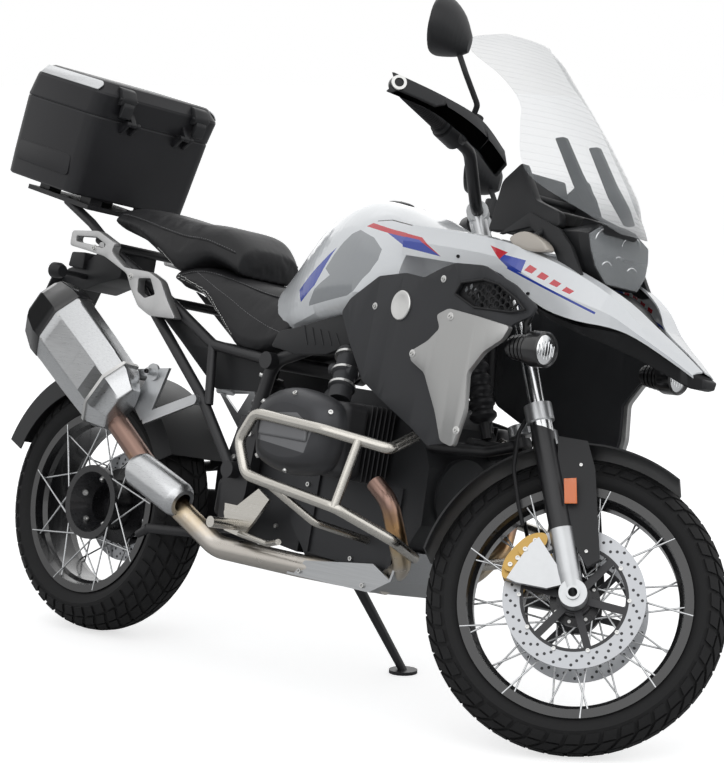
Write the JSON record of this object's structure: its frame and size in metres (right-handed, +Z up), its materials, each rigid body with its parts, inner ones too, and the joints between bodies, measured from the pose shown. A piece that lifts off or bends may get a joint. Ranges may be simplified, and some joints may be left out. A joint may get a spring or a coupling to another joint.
{
  "type": "adventure motorcycle",
  "caption": "Flat-twin adventure motorcycle leaning on its side stand, with turning wheels, steering, folding stands and a top case that opens.",
  "frame": {"origin": "bottom centre of the bounding box, on the ground the parked motorcycle stands on", "axes": "+X forward along the wheelbase, +Y to the rider's left, +Z up; the motorcycle leans to +Y on its side stand"},
  "size_m": [2.1861, 0.9571, 1.5877],
  "materials": {
    "engine": "as the real surface",
    "frame": "as the real surface",
    "cylinders": "as the real surface",
    "valve_covers": "as the real surface",
    "front_wishbone": "as the real surface",
    "swing_arm": "as the real surface",
    "subframe": "as the real surface",
    "shocks": "as the real surface",
    "exhaust_pipes": "as the real surface",
    "silencer": "as the real surface",
    "skid_plate": "as the real surface",
    "crash_bars": "as the real surface",
    "tank": "as the real surface",
    "front_tyre": "as the real surface",
    "front_rim": "as the real surface",
    "front_hub": "as the real surface",
    "front_discs": "as the real surface",
    "rear_tyre": "as the real surface",
    "rear_rim": "as the real surface",
    "rear_hub": "as the real surface",
    "rear_disc": "as the real surface",
    "fork_tubes": "as the real surface",
    "fork_legs": "as the real surface",
    "front_axle": "as the real surface",
    "front_calipers": "as the real surface",
    "fork_yokes": "as the real surface",
    "handlebar": "as the real surface",
    "controls": "as the real surface",
    "hand_guards": "as the real surface",
    "mirrors": "as the real surface",
    "front_mudguard": "as the real surface",
    "fork_covers": "as the real surface",
    "beak": "as the real surface",
    "beak_nose": "as the real surface",
    "shrouds": "as the real surface",
    "shroud_panels": "as the real surface",
    "cockpit": "as the real surface",
    "headlamp": "as the real surface",
    "windscreen": "as the real surface",
    "fog_lamps": "as the real surface",
    "side_covers": "as the real surface",
    "rider_seat": "as the real surface",
    "passenger_seat": "as the real surface",
    "grab_handles": "as the real surface",
    "case_tub": "as the real surface",
    "case_lid": "as the real surface",
    "case_carrier": "as the real surface",
    "tail": "as the real surface",
    "rear_hugger": "as the real surface",
    "brake_hoses": "as the real surface",
    "footrests": "as the real surface",
    "pedals": "as the real surface",
    "passenger_footrests": "as the real surface",
    "side_stand": "as the real surface",
    "centre_stand": "as the real surface"
  },
  "bodies": {
    "chassis": {"engine": "engine", "frame": "frame", "cylinders": "cylinders", "valve_covers": "valve_covers", "front_wishbone": "front_wishbone", "swing_arm": "swing_arm", "subframe": "subframe", "shocks": "shocks", "exhaust_pipes": "exhaust_pipes", "silencer": "silencer", "skid_plate": "skid_plate", "crash_bars": "crash_bars", "tank": "tank", "beak": "beak", "beak_nose": "beak_nose", "shrouds": "shrouds", "shroud_panels": "shroud_panels", "cockpit": "cockpit", "headlamp": "headlamp", "windscreen": "windscreen", "fog_lamps": "fog_lamps", "side_covers": "side_covers", "rider_seat": "rider_seat", "passenger_seat": "passenger_seat", "grab_handles": "grab_handles", "case_tub": "case_tub", "case_carrier": "case_carrier", "tail": "tail", "rear_hugger": "rear_hugger", "footrests": "footrests", "pedals": "pedals", "passenger_footrests": "passenger_footrests"},
    "fork": {"front_axle": "front_axle", "fork_tubes": "fork_tubes", "fork_legs": "fork_legs", "front_calipers": "front_calipers", "fork_yokes": "fork_yokes", "handlebar": "handlebar", "controls": "controls", "hand_guards": "hand_guards", "mirrors": "mirrors", "front_mudguard": "front_mudguard", "fork_covers": "fork_covers", "brake_hoses": "brake_hoses"},
    "front_wheel": {"front_tyre": "front_tyre", "front_rim": "front_rim", "front_hub": "front_hub", "front_discs": "front_discs"},
    "rear_wheel": {"rear_tyre": "rear_tyre", "rear_rim": "rear_rim", "rear_hub": "rear_hub", "rear_disc": "rear_disc"},
    "side_stand": {"side_stand": "side_stand"},
    "centre_stand": {"centre_stand": "centre_stand"},
    "case_lid": {"case_lid": "case_lid"}
  },
  "joints": [
    {"name": "steering", "type": "hinge", "parent": "chassis", "child": "fork", "pos_m": [0.44555, -0.01024, 0.96208], "axis": [0.4286, -0.1878, -0.8838], "range_deg": [0, 72]},
    {"name": "front_wheel_spin", "type": "hinge", "parent": "fork", "child": "front_wheel", "pos_m": [0.80807, -0.12053, 0.30138], "axis": [-0.5298, 0.7401, -0.4142], "continuous": true},
    {"name": "rear_wheel_spin", "type": "hinge", "parent": "chassis", "child": "rear_wheel", "pos_m": [-0.69732, -0.14821, 0.31302], "axis": [0, 0.9781, -0.2079], "continuous": true},
    {"name": "side_stand_fold", "type": "hinge", "parent": "chassis", "child": "side_stand", "pos_m": [0.03939, -0.02057, 0.23052], "axis": [0.2732, 0.8677, 0.4152], "range_deg": [0, 100]},
    {"name": "centre_stand_fold", "type": "hinge", "parent": "chassis", "child": "centre_stand", "pos_m": [-0.13015, -0.14222, 0.34119], "axis": [0, -0.9781, 0.2079], "range_deg": [0, 84], "stiffness_Nm_per_rad": 6, "springref_deg": -68.75},
    {"name": "case_lid_hinge", "type": "hinge", "parent": "chassis", "child": "case_lid", "pos_m": [-0.74508, 0.04933, 1.24234], "axis": [0, 0.9781, -0.2079], "range_deg": [0, 80]}
  ]
}
